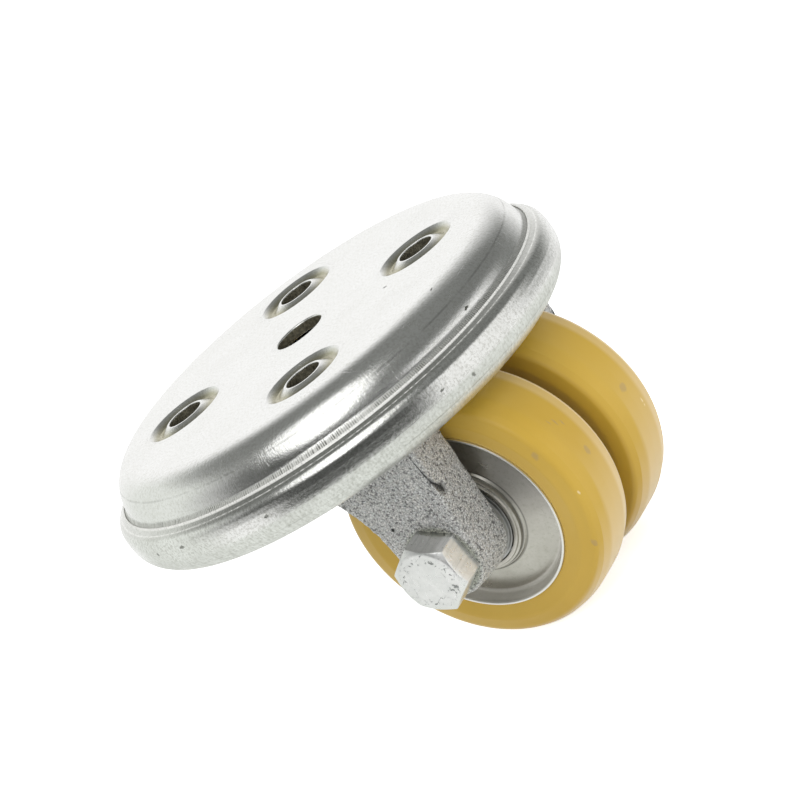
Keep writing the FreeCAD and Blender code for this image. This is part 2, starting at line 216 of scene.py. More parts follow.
def castGroup():  # crumpled grains of a sand-cast skin, with painted shade in the crevices between them and in low spots of the grain
    group, (spot, grainScale) = newGroup(
        "castGrain", ["Vector"], {"Grain Scale": 1000.0}, ["Sparkle", "Crevice Shade", "Height"])
    bent = shaken(spot, 900.0, 0.6 * mm)
    _, chance, spread = cellValues(bent, grainScale)
    edge = Value(cellNode(bent, grainScale, "DISTANCE_TO_EDGE").outputs["Distance"])
    coarse = noiseNode(spot, grainScale, 3.0, 0.65)
    crevice = edge.ramp(0.2, 0.02) * coarse.ramp(0.36, 0.6, 0.2, 0.7)
    lumps = noiseNode(spot, 260.0, 4.0, 0.6)
    height = coarse * 1.3 + edge * 0.4 + spread * 0.15 + lumps * 0.6
    addNode(group, "NodeGroupOutput", {
        "Sparkle": mathNode("POWER", chance, 1.8), "Crevice Shade": larger(crevice, coarse.ramp(0.475, 0.42)), "Height": height})
    return group


def formingGroup():  # fine lines across or along a turned wall, on the piece's own UV map
    numbers = {"Across": 900.0, "Along": 3.0, "Teeth": 680.0}
    group, (unwrapped, across, along, teeth) = newGroup("formingLines", ["Vector"], numbers, ["Line", "Tooth"])
    turnShare, upShare = axisValue(unwrapped, "X"), axisValue(unwrapped, "Y")
    joined = addNode(group, "ShaderNodeCombineXYZ", {0: turnShare * across, 1: upShare * along})
    line = noiseNode(Value(joined.outputs[0]), 1.0, 3.0, 0.6)
    phase = turnShare * (teeth * math.tau) + line * 8.0
    tooth = mathNode("SINE", phase).ramp(-0.2, 0.7) * line.ramp(0.36, 0.6, 0.15, 1.0)
    addNode(group, "NodeGroupOutput", {"Line": line, "Tooth": tooth})
    return group


handlingMarks = handlingGroup()
castGrain = castGroup()
formingLines = formingGroup()


def handled(spot, blotchScale, nickScale, nickShare):
    values = {"Vector": spot, "Blotch Scale": blotchScale, "Nick Scale": nickScale, "Nick Share": nickShare}
    return useGroup(spot.tree, handlingMarks, values)


def formed(unwrapped, across, along, teeth=680.0):
    values = {"Vector": unwrapped, "Across": across, "Along": along, "Teeth": teeth}
    return useGroup(unwrapped.tree, formingLines, values)


# finishes

def newFinish(name):
    finish = bpy.data.materials.new(name)
    finish.use_nodes = True
    place = addNode(finish.node_tree, "ShaderNodeTexCoord")
    return finish, Value(place.outputs["Object"]), Value(place.outputs["UV"])


def setShader(finish, values, height=None, strength=1.0, depth=0.0):
    shader = finish.node_tree.nodes["Principled BSDF"]
    for label, value in values.items():
        feed(value, shader.inputs[label])
    if height is not None:
        bumps = {"Strength": strength, "Distance": depth, "Height": height}
        feed(addNode(finish.node_tree, "ShaderNodeBump", bumps), shader.inputs["Normal"])
    return finish


def zincPlateFinish():
    look = {
        "pale": (0.95, 0.95, 0.935, 1), "dull": (0.72, 0.72, 0.67, 1), "nick": (0.13, 0.13, 0.11, 1),
        "borePale": (0.5, 0.47, 0.36, 1), "boreDark": (0.2, 0.19, 0.14, 1), "darkTint": (0.62, 0.59, 0.46, 1),
        "seat": 16.0 * mm, "score": 83.4 * mm, "scoreHalf": 0.2 * mm, "flareLow": -15.5 * mm, "flareHigh": -12.7 * mm,
        "scars": [((83.5, -18.9, -10.6), (0.5, 1.6, 0.5)), ((74.4, -16.5, -0.7), (0.4, 0.9, 0.5)),
                  ((40.8, 3.9, 0.0), (1.0, 0.6, 0.5))],
    }
    finish, spot, unwrapped = newFinish("zincPlated")
    blotch, scratch, nick = handled(spot, 55.0, 70.0, 0.04)
    line, _ = formed(unwrapped, 900.0, 16.0)
    _, tooth = formed(unwrapped, 260.0, 3.0, 640.0)
    height, reach = axisValue(spot, "Z"), reachFrom(spot, (0, 0, 0), upAxis)
    flare = height.band(look["flareLow"], look["flareHigh"], 0.4 * mm)
    broken = noiseNode(spot, 120.0)
    score = reach.band(look["score"] - look["scoreHalf"], look["score"] + look["scoreHalf"], 0.1 * mm)
    score = score * broken.ramp(0.35, 0.6)
    scar = larger(nick, scarMask(spot, look["scars"]))
    fine = noiseNode(spot, 1000.0, 3.0, 0.7)
    tooth = tooth * flare * broken.ramp(0.3, 0.6, 0.35, 1.0)
    bore = reach.ramp((plateHoles["centre"] + 0.1) * mm, (plateHoles["centre"] + 0.05) * mm)
    recess = 0.0
    for centre in boltSpots:
        away = reachFrom(spot, centre, upAxis)
        bore = larger(away.ramp((plateHoles["bolt"] + 0.1) * mm, (plateHoles["bolt"] + 0.05) * mm), bore)
        recess = larger(away.ramp(look["seat"] + 0.4 * mm, look["seat"] - 0.4 * mm), recess)
    bore = bore * height.ramp(-0.4 * mm, -0.7 * mm)
    # the seat recesses get a darker olive tint, multiplied in more toward their floors
    recess = recess * height.ramp(-0.3 * mm, -1.6 * mm)
    speckle = noiseNode(spot, 900.0, 4.0, 0.7).ramp(0.35, 0.65)
    tone = layered(
        finish.node_tree, look["pale"], (blotch * 0.16, look["dull"]), (line * 0.1, look["dull"]),
        (fine.ramp(0.45, 0.65, 0.0, 0.6), look["dull"]), (flare * 0.35, look["dull"]), (tooth * 0.8, look["nick"]),
        (larger(scar, score * 0.3), look["nick"]), (recess, look["darkTint"], "MULTIPLY"),
        (bore, layered(finish.node_tree, look["boreDark"], (speckle, look["borePale"]))))
    rough = blotch.ramp(0.0, 1.0, 0.17, 0.24) + larger(flare, bore) * 0.3 + scratch * 0.1
    relief = line * 0.35 + fine * 0.6 - scratch * 0.4 - tooth * 1.8 - (score * 0.5 + scar * 2.0)
    return setShader(finish, {"Base Color": tone, "Metallic": 1.0, "Roughness": rough}, relief, 0.75, 0.1 * mm)


def zincRingFinish():
    look = {
        "pale": (0.96, 0.965, 0.94, 1), "dull": (0.6, 0.6, 0.56, 1), "dark": (0.13, 0.13, 0.11, 1),
        "lip": (0.97, 0.965, 0.93, 1), "lipLow": -14.6 * mm, "slopeLow": -16.4 * mm,
        "skirtHigh": -25.5 * mm, "skirtLow": -35.0 * mm, "lineHigh": -28.9 * mm, "lineLow": -29.3 * mm,
        "creaseHigh": -15.55 * mm, "creaseLow": -15.75 * mm,
        "scars": [((22.0, -89.8, -22.0), (1.2, 0.8, 0.6)), ((-34.3, -85.9, -21.3), (0.8, 0.8, 0.8)),
                  ((-17.6, -90.7, -20.2), (1.8, 0.8, 0.7)), ((84.4, -37.1, -26.1), (0.8, 0.8, 1.0)),
                  ((79.1, -48.0, -22.4), (0.8, 1.0, 0.5))],
    }
    finish, spot, unwrapped = newFinish("zincRolled")
    blotch, _, nick = handled(spot, 48.0, 75.0, 0.05)
    line, _ = formed(unwrapped, 520.0, 14.0)
    cutLine, tooth = formed(unwrapped, 240.0, 5.0, 460.0)
    height = axisValue(spot, "Z")
    lip = height.band(look["lipLow"], 0.0, 0.2 * mm)
    # painted shade: the slope band between the lip and the crease is mixed toward the dull colour
    slope = height.band(look["slopeLow"], look["lipLow"], 0.3 * mm)
    skirt = height.band(look["skirtLow"], look["skirtHigh"], 2.0 * mm)
    groove = height.band(look["lineLow"], look["lineHigh"], 0.15 * mm)
    # painted highlight: a thin broken band along the crease in the lip's pale colour, made less metallic so it stays
    # bright
    creaseHighlight = height.band(look["creaseLow"], look["creaseHigh"], 0.1 * mm) * cutLine.ramp(0.4, 0.6, 0.25, 1.0)
    fine = noiseNode(spot, 1000.0, 3.0, 0.7)
    streak = tooth * cutLine.ramp(0.42, 0.58) * lip
    scar = larger(nick, scarMask(spot, look["scars"]))
    tone = layered(
        finish.node_tree, look["pale"], (blotch * 0.35, look["dull"]),
        (line.ramp(0.4, 0.7) * skirt.ramp(0.0, 1.0, 0.15, 0.6), look["dull"]),
        (fine.ramp(0.45, 0.65, 0.0, 0.75), look["dull"]), (slope * 0.45, look["dull"]), (lip * 0.8, look["lip"]),
        (creaseHighlight, look["lip"]), (streak * 0.3, look["dark"]),
        (groove * blotch.ramp(0.3, 0.8, 0.05, 0.35), look["dark"]), (scar * 0.75, look["dark"]))
    # the cut lip is less metallic, and so is the crease's painted highlight band
    metal = larger(lip, creaseHighlight).ramp(0.0, 1.0, 1.0, 0.4)
    rough = blotch.ramp(0.0, 1.0, 0.17, 0.24) + lip * 0.35 + skirt * 0.2
    relief = line * (skirt + 0.15) - streak * 0.5 + fine * 0.55 - (scar * 1.8 + groove * 0.6)
    return setShader(finish, {"Base Color": tone, "Metallic": metal, "Roughness": rough}, relief, 0.8, 0.11 * mm)


def castingFinish():
    look = {
        "pale": (0.95, 0.96, 0.96, 1), "mid": (0.98, 0.965, 0.945, 1), "dark": (0.05, 0.05, 0.05, 1),
        "olive": (0.78, 0.8, 0.72, 1), "seamTop": Vector((53.2, 0, -36.5)) * mm,
        "seamFoot": Vector((55.6, 0, -66.0)) * mm, "seamHalf": 0.28 * mm, "wander": 1.1 * mm,
        "faceLow": 48.0 * mm, "faceHigh": 50.0 * mm, "seatReach": 14.6 * mm, "seatFade": 1.5 * mm,
        "pits": [((27.0, -53.0, -60.0), (1.2, 1.5, 0.8)), ((30.5, -53.0, -58.2), (0.8, 1.5, 0.5))],
    }
    finish, spot, _ = newFinish("zincOnCasting")
    sparkle, creviceShade, height = useGroup(finish.node_tree, castGrain, {"Vector": spot, "Grain Scale": 1000.0})
    blotch, _, nick = handled(spot, 60.0, 130.0, 0.05)
    run = look["seamFoot"] - look["seamTop"]
    way = run.normalized()
    away = vectorNode("SUBTRACT", spot, look["seamTop"])
    along, aside = (vectorNode("DOT_PRODUCT", away, axis) for axis in (way, Vector((-way.z, 0, way.x))))
    aside = aside + (noiseNode(spot, 300.0, 3.0, 0.6) - 0.5) * look["wander"]
    seam = aside.band(-look["seamHalf"], look["seamHalf"], 0.25 * mm) * along.band(0.0, run.length, 2.0 * mm)
    seam = seam * noiseNode(spot, 190.0, 2.0).ramp(0.3, 0.5, 0.15, 1.0)
    outside = mathNode("ABSOLUTE", axisValue(spot, "Y")).ramp(look["faceLow"], look["faceHigh"])
    pit = larger(seam * outside, larger(nick, scarMask(spot, look["pits"])))
    reach = reachFrom(spot, axlePoint, axleAxis)
    seat = reach.ramp(look["seatReach"], look["seatReach"] - look["seatFade"]) * outside
    # the crevice layer is painted shade of the cast grain; the same dark colour also marks real pits, nicks and the
    # parting seam
    tone = layered(
        finish.node_tree, look["mid"], (sparkle, look["pale"]), (creviceShade * 0.8, look["dark"]),
        (blotch * 0.2, look["mid"]), (seat, look["olive"], "MULTIPLY"), (pit, look["dark"]))
    rough = sparkle.ramp(0.0, 1.0, 0.5, 0.28)
    relief = height - pit * 1.2
    return setShader(finish, {"Base Color": tone, "Metallic": 0.75, "Roughness": rough}, relief, 1.0, 1.1 * mm)


def fastenerFinish():
    look = {
        "pale": (0.95, 0.95, 0.935, 1), "dull": (0.64, 0.655, 0.64, 1), "dark": (0.12, 0.13, 0.13, 1),
        "markInner": 7.0 * mm, "markOuter": 11.0 * mm, "faceLow": 0.1 * mm, "faceHigh": 0.6 * mm,
        "scraped": 8.5 * mm, "scrapedFade": 1.0 * mm,
    }
    finish, spot, _ = newFinish("zincFastener")
    blotch, _, nick = handled(spot, 180.0, 300.0, 0.05)
    crushed = noiseNode(spot, 520.0, 5.0, 0.7, 0.8)
    face = axisValue(spot, "Y").ramp(boltLow.y + look["faceHigh"], boltLow.y + look["faceLow"])
    marked = reachFrom(spot, axlePoint, axleAxis).band(look["markInner"], look["markOuter"], 0.4 * mm)
    dents = face * marked * noiseNode(spot, 430.0, 3.0, 0.6, 1.6).ramp(0.58, 0.64)
    drawn = noiseNode(stretch(spot, (1300, 60, 1300)), 1.0).ramp(0.55, 0.7) * (1.0 - face)
    dark = larger(crushed.ramp(0.66, 0.72, 0.0, 0.7), dents * 0.75)
    tone = layered(
        finish.node_tree, look["pale"], (blotch * 0.35, look["dull"]), (drawn * 0.5, look["dull"]),
        (dark, look["dark"]))
    scrapedX = axlePoint.x + look["scraped"]
    metal = axisValue(spot, "X").ramp(scrapedX, scrapedX + look["scrapedFade"], 0.98, 0.76)
    rough = crushed.ramp(0.3, 0.7, 0.24, 0.38)
    relief = crushed - larger(nick, dents) * 0.8 - drawn * 0.4
    return setShader(finish, {"Base Color": tone, "Metallic": metal, "Roughness": rough}, relief, 0.4, 0.3 * mm)


def hubFinish():
    look = {
        "pale": (0.68, 0.655, 0.605, 1), "dull": (0.46, 0.44, 0.39, 1), "dark": (0.1, 0.095, 0.085, 1),
        "olive": (0.38, 0.38, 0.3, 1), "rimHighlight": (0.95, 0.94, 0.9, 1),
        "rim": 34.35 * mm, "rimSoft": 0.1 * mm, "wall": 32.4 * mm,
        "steps": (20.3 * mm, 21.4 * mm), "stepHalf": 0.22 * mm,
    }
    finish, spot, unwrapped = newFinish("turnedHub")
    blotch, scratch, nick = handled(spot, 70.0, 160.0, 0.05)
    turned, _ = formed(unwrapped, 6.0, 260.0)
    grit = noiseNode(spot, 900.0, 4.0, 0.7)
    reach = reachFrom(spot, axlePoint, axleAxis)
    # painted highlight: the rim band gets a much paler colour than the rest of the hub
    rim = reach.ramp(look["rim"] - look["rimSoft"], look["rim"] + look["rimSoft"])
    # painted reflection: the wall band inside the rim gets an olive tint standing for the dark surroundings it mirrors,
    # and less metal
    wall = reach.band(look["wall"], look["rim"] - look["rimSoft"], 0.3 * mm)
    # painted shade: dark thin lines at the two boss steps; the same mask also dents the relief
    stepShade = 0.0
    for radius in look["steps"]:
        stepShade = reach.band(radius - look["stepHalf"], radius + look["stepHalf"], 0.15 * mm) + stepShade
    tone = layered(
        finish.node_tree, look["pale"], (blotch * 0.5, look["dull"]), (turned * 0.3, look["dull"]),
        (grit.ramp(0.5, 0.75, 0.0, 0.5), look["olive"]), (wall * grit.ramp(0.3, 0.6, 0.35, 0.1), look["olive"]),
        (larger(nick, stepShade * 0.6), look["dark"]), (rim * 0.9, look["rimHighlight"]))
    metal = wall.ramp(0.0, 1.0, 1.0, 0.35)
    rough = blotch.ramp(0.0, 1.0, 0.26, 0.36) + wall * 0.2 + scratch * 0.1
    relief = turned - larger(scratch, stepShade) * 0.6 + grit
    return setShader(finish, {"Base Color": tone, "Metallic": metal, "Roughness": rough}, relief, 0.3, 0.08 * mm)


def tyreFinish():
    look = {
        "ochre": (0.55, 0.35, 0.034, 1), "pale": (0.61, 0.41, 0.07, 1), "deep": (0.44, 0.26, 0.012, 1),
        "darkTint": (0.2, 0.14, 0.06, 1), "smear": (0.3, 0.22, 0.13, 1), "bare": (0.8, 0.68, 0.42, 1),
        "paintedSheen": (0.92, 0.76, 0.5, 1), "sheen": {"Weight": 0.35, "Roughness": 0.45, "Tint": (1, 0.93, 0.84, 1)},
        "scuffs": [((86.6, -17.2, -74.8), (1.5, 1.4, 2.2)), ((83.8, -18.5, -60.5), (1.5, 0.5, 2.0)),
                   ((84.6, -16.4, -62.5), (1.5, 0.4, 1.6)), ((82.6, -20.6, -59.0), (1.5, 0.4, 1.4)),
                   ((79.6, -32.3, -63.4), (1.6, 1.0, 2.2)), ((76.7, -31.6, -101.0), (1.2, 1.2, 2.0)),
                   ((86.5, 17.9, -73.8), (1.5, 2.2, 2.0))],
        "chips": [((84.2, -30.9, -82.0), (0.5, 0.6, 0.9)), ((86.3, 22.3, -82.8), (0.8, 0.5, 1.2)),
                  ((86.0, 22.3, -84.7), (0.8, 0.4, 0.8))],
    }
    finish, spot, _ = newFinish("castTyre")
    blotch, scratch, nick = handled(spot, 26.0, 120.0, 0.03)
    cloud = noiseNode(spot, 14.0, 4.0, 0.55, 0.5)
    scuff, chip = scarMask(spot, look["scuffs"]), scarMask(spot, look["chips"])
    # painted sheen: a pale tint grows toward grazing angles on the tyre, standing for light along its edges
    edge = Value(addNode(finish.node_tree, "ShaderNodeLayerWeight").outputs["Facing"])
    tone = layered(
        finish.node_tree, look["deep"], (cloud.ramp(0.3, 0.7), look["pale"]), (0.6, look["ochre"]),
        (blotch * 0.12, look["pale"]), (nick * 0.6, look["darkTint"]), (edge.ramp(0.35, 0.95, 0.0, 0.6), look["paintedSheen"]),
        (scuff * 0.4, look["smear"]), (chip * 0.6, look["bare"]))
    rough = blotch.ramp(0.0, 1.0, 0.36, 0.48) + scratch * 0.15
    relief = noiseNode(spot, 700.0) * 0.5 - larger(nick, chip)
    sheen = {"Sheen " + label: value for label, value in look["sheen"].items()}
    return setShader(finish, {"Base Color": tone, "Roughness": rough, **sheen}, relief, 0.2, 0.1 * mm)


def groundSteelFinish(name, pale, dark, roughLow, roughHigh):
    finish, spot, _ = newFinish(name)
    blotch, scratch, _ = handled(spot, 150.0, 400.0, 0.02)
    tone = layered(finish.node_tree, pale, (blotch, dark))
    rough = blotch.ramp(0.0, 1.0, roughLow, roughHigh)
    return setShader(finish, {"Base Color": tone, "Metallic": 1.0, "Roughness": rough}, scratch, 0.2, 0.05 * mm)


def plainSkinFinish(name, pale, dark, roughness, grainScale):
    finish, spot, _ = newFinish(name)
    grain = noiseNode(spot, grainScale, 4.0)
    tone = layered(finish.node_tree, pale, (grain.ramp(0.3, 0.7), dark))
    rough = grain.ramp(0.2, 0.8, roughness - 0.08, roughness + 0.08)
    return setShader(finish, {"Base Color": tone, "Roughness": rough}, grain, 0.3, 0.1 * mm)


finishes = {
    "plate": zincPlateFinish(),
    "ring": zincRingFinish(),
    "casting": castingFinish(),
    "fastener": fastenerFinish(),
    "hub": hubFinish(),
    "tyre": tyreFinish(),
    "bearing": groundSteelFinish("groundBearing", (0.6, 0.6, 0.6, 1), (0.42, 0.42, 0.42, 1), 0.18, 0.3),
    "spacer": groundSteelFinish("turnedSpacer", (0.55, 0.55, 0.54, 1), (0.38, 0.38, 0.37, 1), 0.28, 0.42),
    "shield": groundSteelFinish("pressedShield", (0.62, 0.61, 0.59, 1), (0.45, 0.44, 0.42, 1), 0.34, 0.46),
    "nylon": plainSkinFinish("nylonInsert", (0.75, 0.75, 0.7, 1), (0.66, 0.66, 0.6, 1), 0.45, 500.0),
}
print("finishes made:", len(finishes))


# shape helpers

def newPiece(name, mesh, finish=None):
    piece = bpy.data.objects.new(name, mesh)
    scene.collection.objects.link(piece)
    if finish is not None:
        mesh.materials.clear()
        mesh.materials.append(finish)
    return piece


def closeShell(shell, mesh, mergeGap=1e-6):  # merges doubles, turns normals outward and writes the mesh
    bmesh.ops.remove_doubles(shell, verts=shell.verts, dist=mergeGap)
    bmesh.ops.recalc_face_normals(shell, faces=shell.faces)
    for face in shell.faces:
        face.smooth = True
        face.material_index = 0
    shell.to_mesh(mesh)
    shell.free()
    mesh.update()
    return mesh


def cleanShell(mesh, mergeGap=1e-6):
    shell = bmesh.new()
    shell.from_mesh(mesh)
    return closeShell(shell, mesh, mergeGap)


def evaluated(piece):  # the plain mesh of a piece with its modifiers, which replaces the piece
    bpy.context.view_layer.update()
    mesh = bpy.data.meshes.new_from_object(piece.evaluated_get(bpy.context.evaluated_depsgraph_get()))
    piece.modifiers.clear()
    bpy.data.objects.remove(piece)
    return mesh


def roundedOutline(corners, stepMm, arcSteps):  # corners are (radius, height, corner rounding) in millimetres
    outline = []
    for i, (x, z, rounding) in enumerate(corners):
        here = Vector((x, z))
        if rounding == 0 or i in (0, len(corners) - 1):
            outline.append(here)
            continue
        before = (Vector(corners[i - 1][:2]) - here).normalized()
        after = (Vector(corners[i + 1][:2]) - here).normalized()
        halfAngle = before.angle(after) / 2
        reach = rounding / math.tan(halfAngle)
        centre = here + (before + after).normalized() * (rounding / math.sin(halfAngle))
        first, last = here + before * reach - centre, here + after * reach - centre
        turn = first.angle_signed(last)
        for step in range(arcSteps + 1):
            outline.append(centre + Matrix.Rotation(-turn * step / arcSteps, 2) @ first)
    filled = [outline[0]]
    for point in outline[1:]:
        start = filled[-1].copy()
        count = max(1, math.ceil((point - start).length / stepMm))
        for step in range(1, count + 1):
            filled.append(start.lerp(point, step / count))
    return [Vector((point.x * mm, 0, point.y * mm)) for point in filled]


def newShapeTree(name, kinds):
    tree = bpy.data.node_groups.new(name, "GeometryNodeTree")
    sockets = tree.interface
    sockets.new_socket("Geometry", in_out="INPUT", socket_type="NodeSocketGeometry")
    kinds = {**kinds, "Turn": "Rotation", "Place": "Vector", "Finish": "Material"}
    ids = {label: sockets.new_socket(label, in_out="INPUT", socket_type="NodeSocket" + kind).identifier
           for label, kind in kinds.items()}
    sockets.new_socket("Geometry", in_out="OUTPUT", socket_type="NodeSocketGeometry")
    return tree, ids, addNode(tree, "NodeGroupInput").outputs


def endShapeTree(tree, given, shape):  # turns and moves the shape into place and gives it its finish
    stand = addNode(tree, "GeometryNodeTransform", {
        "Geometry": shape, "Rotation": given["Turn"], "Translation": given["Place"]})
    real = addNode(tree, "GeometryNodeRealizeInstances", {0: stand})
    paint = addNode(tree, "GeometryNodeSetMaterial", {"Geometry": real, "Material": given["Finish"]})
    addNode(tree, "NodeGroupOutput", {0: paint})


def turnedTree():  # lathe: a profile's points become rings round the Z axis
    tree, ids, given = newShapeTree("turnedPiece", {"Segments": "Int"})
    count = addNode(tree, "GeometryNodeAttributeDomainSize", {"Geometry": given["Geometry"]}, component="MESH")
    points = Value(count.outputs["Point Count"])
    sheet = addNode(tree, "GeometryNodeMeshGrid", {
        "Size X": 1.0, "Size Y": 1.0, "Vertices X": points, "Vertices Y": Value(given["Segments"]) + 1.0})
    spot = Value(addNode(tree, "GeometryNodeInputPosition").outputs[0])
    alongShare, roundShare = axisValue(spot, "X") + 0.5, axisValue(spot, "Y") + 0.5
    unwrapped = addNode(tree, "ShaderNodeCombineXYZ", {0: roundShare, 1: alongShare})
    store = addNode(tree, "GeometryNodeStoreNamedAttribute", {
        "Geometry": sheet, "Name": "UVMap", "Value": unwrapped}, data_type="FLOAT2", domain="CORNER")
    row = mathNode("ROUND", alongShare * (points - 1.0))
    pick = addNode(tree, "GeometryNodeSampleIndex", {
        "Geometry": given["Geometry"], "Value": spot, "Index": row}, data_type="FLOAT_VECTOR", domain="POINT")
    swing = addNode(tree, "ShaderNodeVectorRotate", {
        "Vector": pick, "Angle": roundShare * math.tau}, rotation_type="Z_AXIS")
    move = addNode(tree, "GeometryNodeSetPosition", {"Geometry": store, "Position": swing})
    endShapeTree(tree, given, addNode(tree, "GeometryNodeMergeByDistance", {"Geometry": move, "Distance": 1e-6}))
    return tree, ids


def applyTree(name, mesh, tree, ids, values):  # runs a node tree on a mesh
    piece = newPiece(name, mesh)
    modifier = piece.modifiers.new(tree.name, "NODES")
    modifier.node_group = tree
    for label, value in values.items():
        modifier[ids[label]] = value
    return evaluated(piece)


lathe, latheIds = turnedTree()
alongAxle = (-math.pi / 2, 0.0, 0.0)  # turns the profile's height onto +Y
againstAxle = (math.pi / 2, 0.0, 0.0)


def turnedMesh(name, corners, finish, segments, turn=(0.0, 0.0, 0.0), place=(0.0, 0.0, 0.0), stepMm=0.8, arcSteps=7):
    points = roundedOutline(corners, stepMm, arcSteps)
    line = bpy.data.meshes.new(name)
    line.from_pydata(points, [(i, i + 1) for i in range(len(points) - 1)], [])
    values = {"Segments": segments, "Turn": turn, "Place": place, "Finish": finishes[finish]}
    mesh = applyTree(name, line, lathe, latheIds, values)
    mesh.name = name
    return mesh


def circlePoints(centre, radius, count):
    turns = [math.tau * i / count for i in range(count)]
    return [Vector((centre[0] + radius * math.cos(turn), centre[1] + radius * math.sin(turn))) for turn in turns]


def flatSheet(name, rim, holes, height):  # flat plate between a rim loop and round holes, each a list of points
    points, edges = [], []
    for loop in [rim] + [hole[2] for hole in holes]:
        start = len(points)
        points += loop
        edges += [(start + i, start + (i + 1) % len(loop)) for i in range(len(loop))]
    spots, _, faces, *_ = geometry.delaunay_2d_cdt(points, edges, [list(range(len(rim)))], 1, 1e-9)
    kept = []
    for face in faces:
        middle = sum((spots[i] for i in face), Vector((0, 0))) / len(face)
        if all((middle - Vector(centre)).length > radius * 0.999 for centre, radius, _ in holes):
            kept.append(face)
    mesh = bpy.data.meshes.new(name)
    mesh.from_pydata([(spot.x, spot.y, height) for spot in spots], [], kept)
    return mesh


# head plate: flat top, rounded shoulder, flared rim, four stamped bolt seats

headPlate = {
    "flat": 72.0, "seamInset": 2.5, "thick": 4.0, "shoulder": 14.0, "turn": 80.0,
    "flare": 4.5, "flareShare": 0.98, "flareEnd": 53.0, "drop": 3.7, "rim": 89.4,
    "centreRounding": 0.6, "centreRim": 2.6, "seatOuter": 17.6, "recess": 15.2, "floor": 12.4, "depth": 2.2,
    "collarBase": 11.3, "collarTop": 7.65, "collarDrop": 0.1, "recessFlare": 1.6,
    "rimSegments": 288, "seatSegments": 96,
}


def meetingPoint(start, way, other, otherWay):  # where two lines of a section cross
    return start + way * ((other - start).cross(otherWay) / way.cross(otherWay))


def makeHeadPlate(size):
    thick, depth = size["thick"], size["depth"]
    inside = size["flat"] + size["shoulder"] - thick
    seam = size["flat"] - size["seamInset"]
    turn, end = math.radians(size["turn"]), math.radians(size["flareEnd"])
    outward = Vector((math.sin(turn), math.cos(turn)))
    arcCentre = Vector((size["flat"], -size["shoulder"]))
    turnPoint = arcCentre + outward * size["shoulder"]
    wallWay = Vector((math.cos(turn), -math.sin(turn)))
    flareCentre = arcCentre + outward * (size["shoulder"] + size["flare"])
    flareEnd = flareCentre - Vector((math.sin(end), math.cos(end))) * size["flare"]
    rimZ = flareEnd.y - size["drop"]
    edge = meetingPoint(turnPoint, wallWay, Vector((0, 0)), Vector((1, 0)))
    foot = meetingPoint(turnPoint, wallWay, flareEnd, Vector((size["rim"], rimZ)) - flareEnd)
    pieces = [turnedMesh("plateShoulder", [
        (seam, 0, 0), (edge.x, 0, size["shoulder"]), (foot.x, foot.y, size["flare"] * size["flareShare"]),
        (size["rim"], rimZ, 0.4),
        (size["rim"], rimZ - thick, 0.5), (inside, rimZ - thick, 0.3), (inside, -thick, size["shoulder"] - thick),
        (seam, -thick, 0),
    ], "plate", size["rimSegments"], arcSteps=14)]
    centreHole, boltHole = plateHoles["centre"], plateHoles["bolt"]
    centreRim = centreHole + size["centreRim"]
    pieces.append(turnedMesh("plateCentre", [
        (centreRim, 0, 0), (centreHole, 0, size["centreRounding"]), (centreHole, -thick, 0.4), (centreRim, -thick, 0),
    ], "plate", size["seatSegments"]))
    holes = [((0, 0), centreRim * mm, circlePoints((0, 0), centreRim * mm, size["seatSegments"]))]
    for spot in boltSpots:
        pieces.append(turnedMesh("boltSeat", [
            (size["seatOuter"], 0, 0), (size["recess"], 0, 0.8), (size["floor"], -depth, 0.6),
            (size["collarBase"], -depth, 0.4), (size["collarTop"], -size["collarDrop"], 0.3),
            (boltHole, -size["collarDrop"], 0.25), (boltHole, -thick, 0.3),
            (size["collarBase"], -depth - thick, 0.8), (size["floor"], -depth - thick, 0.8),
            (size["recess"] + size["recessFlare"], -thick, 1.2), (size["seatOuter"], -thick, 0),
        ], "plate", size["seatSegments"], place=tuple(spot), stepMm=0.5))
        seatRadius = size["seatOuter"] * mm
        holes.append((spot.xy, seatRadius, circlePoints(spot, seatRadius, size["seatSegments"])))
    rim = circlePoints((0, 0), seam * mm, size["rimSegments"])
    pieces += [flatSheet("plateSheet", rim, holes, height) for height in (0.0, -thick * mm)]
    shell = bmesh.new()
    for mesh in pieces:
        shell.from_mesh(mesh)
    joined = closeShell(shell, bpy.data.meshes.new("headPlate"), 2e-6)
    plate = newPiece("headPlate", joined, finishes["plate"])
    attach(plate, "head")
    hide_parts("top_plate")
    print("head plate:", len(joined.polygons), "faces")


makeHeadPlate(headPlate)


# retaining ring: cut lip, crease, rolled bead and skirt

rolledRing = {
    "outer": 92.5, "wall": 3.0, "bead": 11.0, "beadZ": -23.5, "opening": 79.5,
    "lipInner": 87.1, "lipLean": 0.75, "lipLow": -14.92, "lipTop": -13.92,
    "lipFlat": 0.7, "lipWidth": 1.0, "lipFall": 0.8,
    "creaseRadius": 92.1, "creaseZ": -16.9, "creaseRounding": 4.0, "crownZ": -20.6, "crownRounding": 7.0,
    "slopeZ": -17.15, "segments": 360,
}


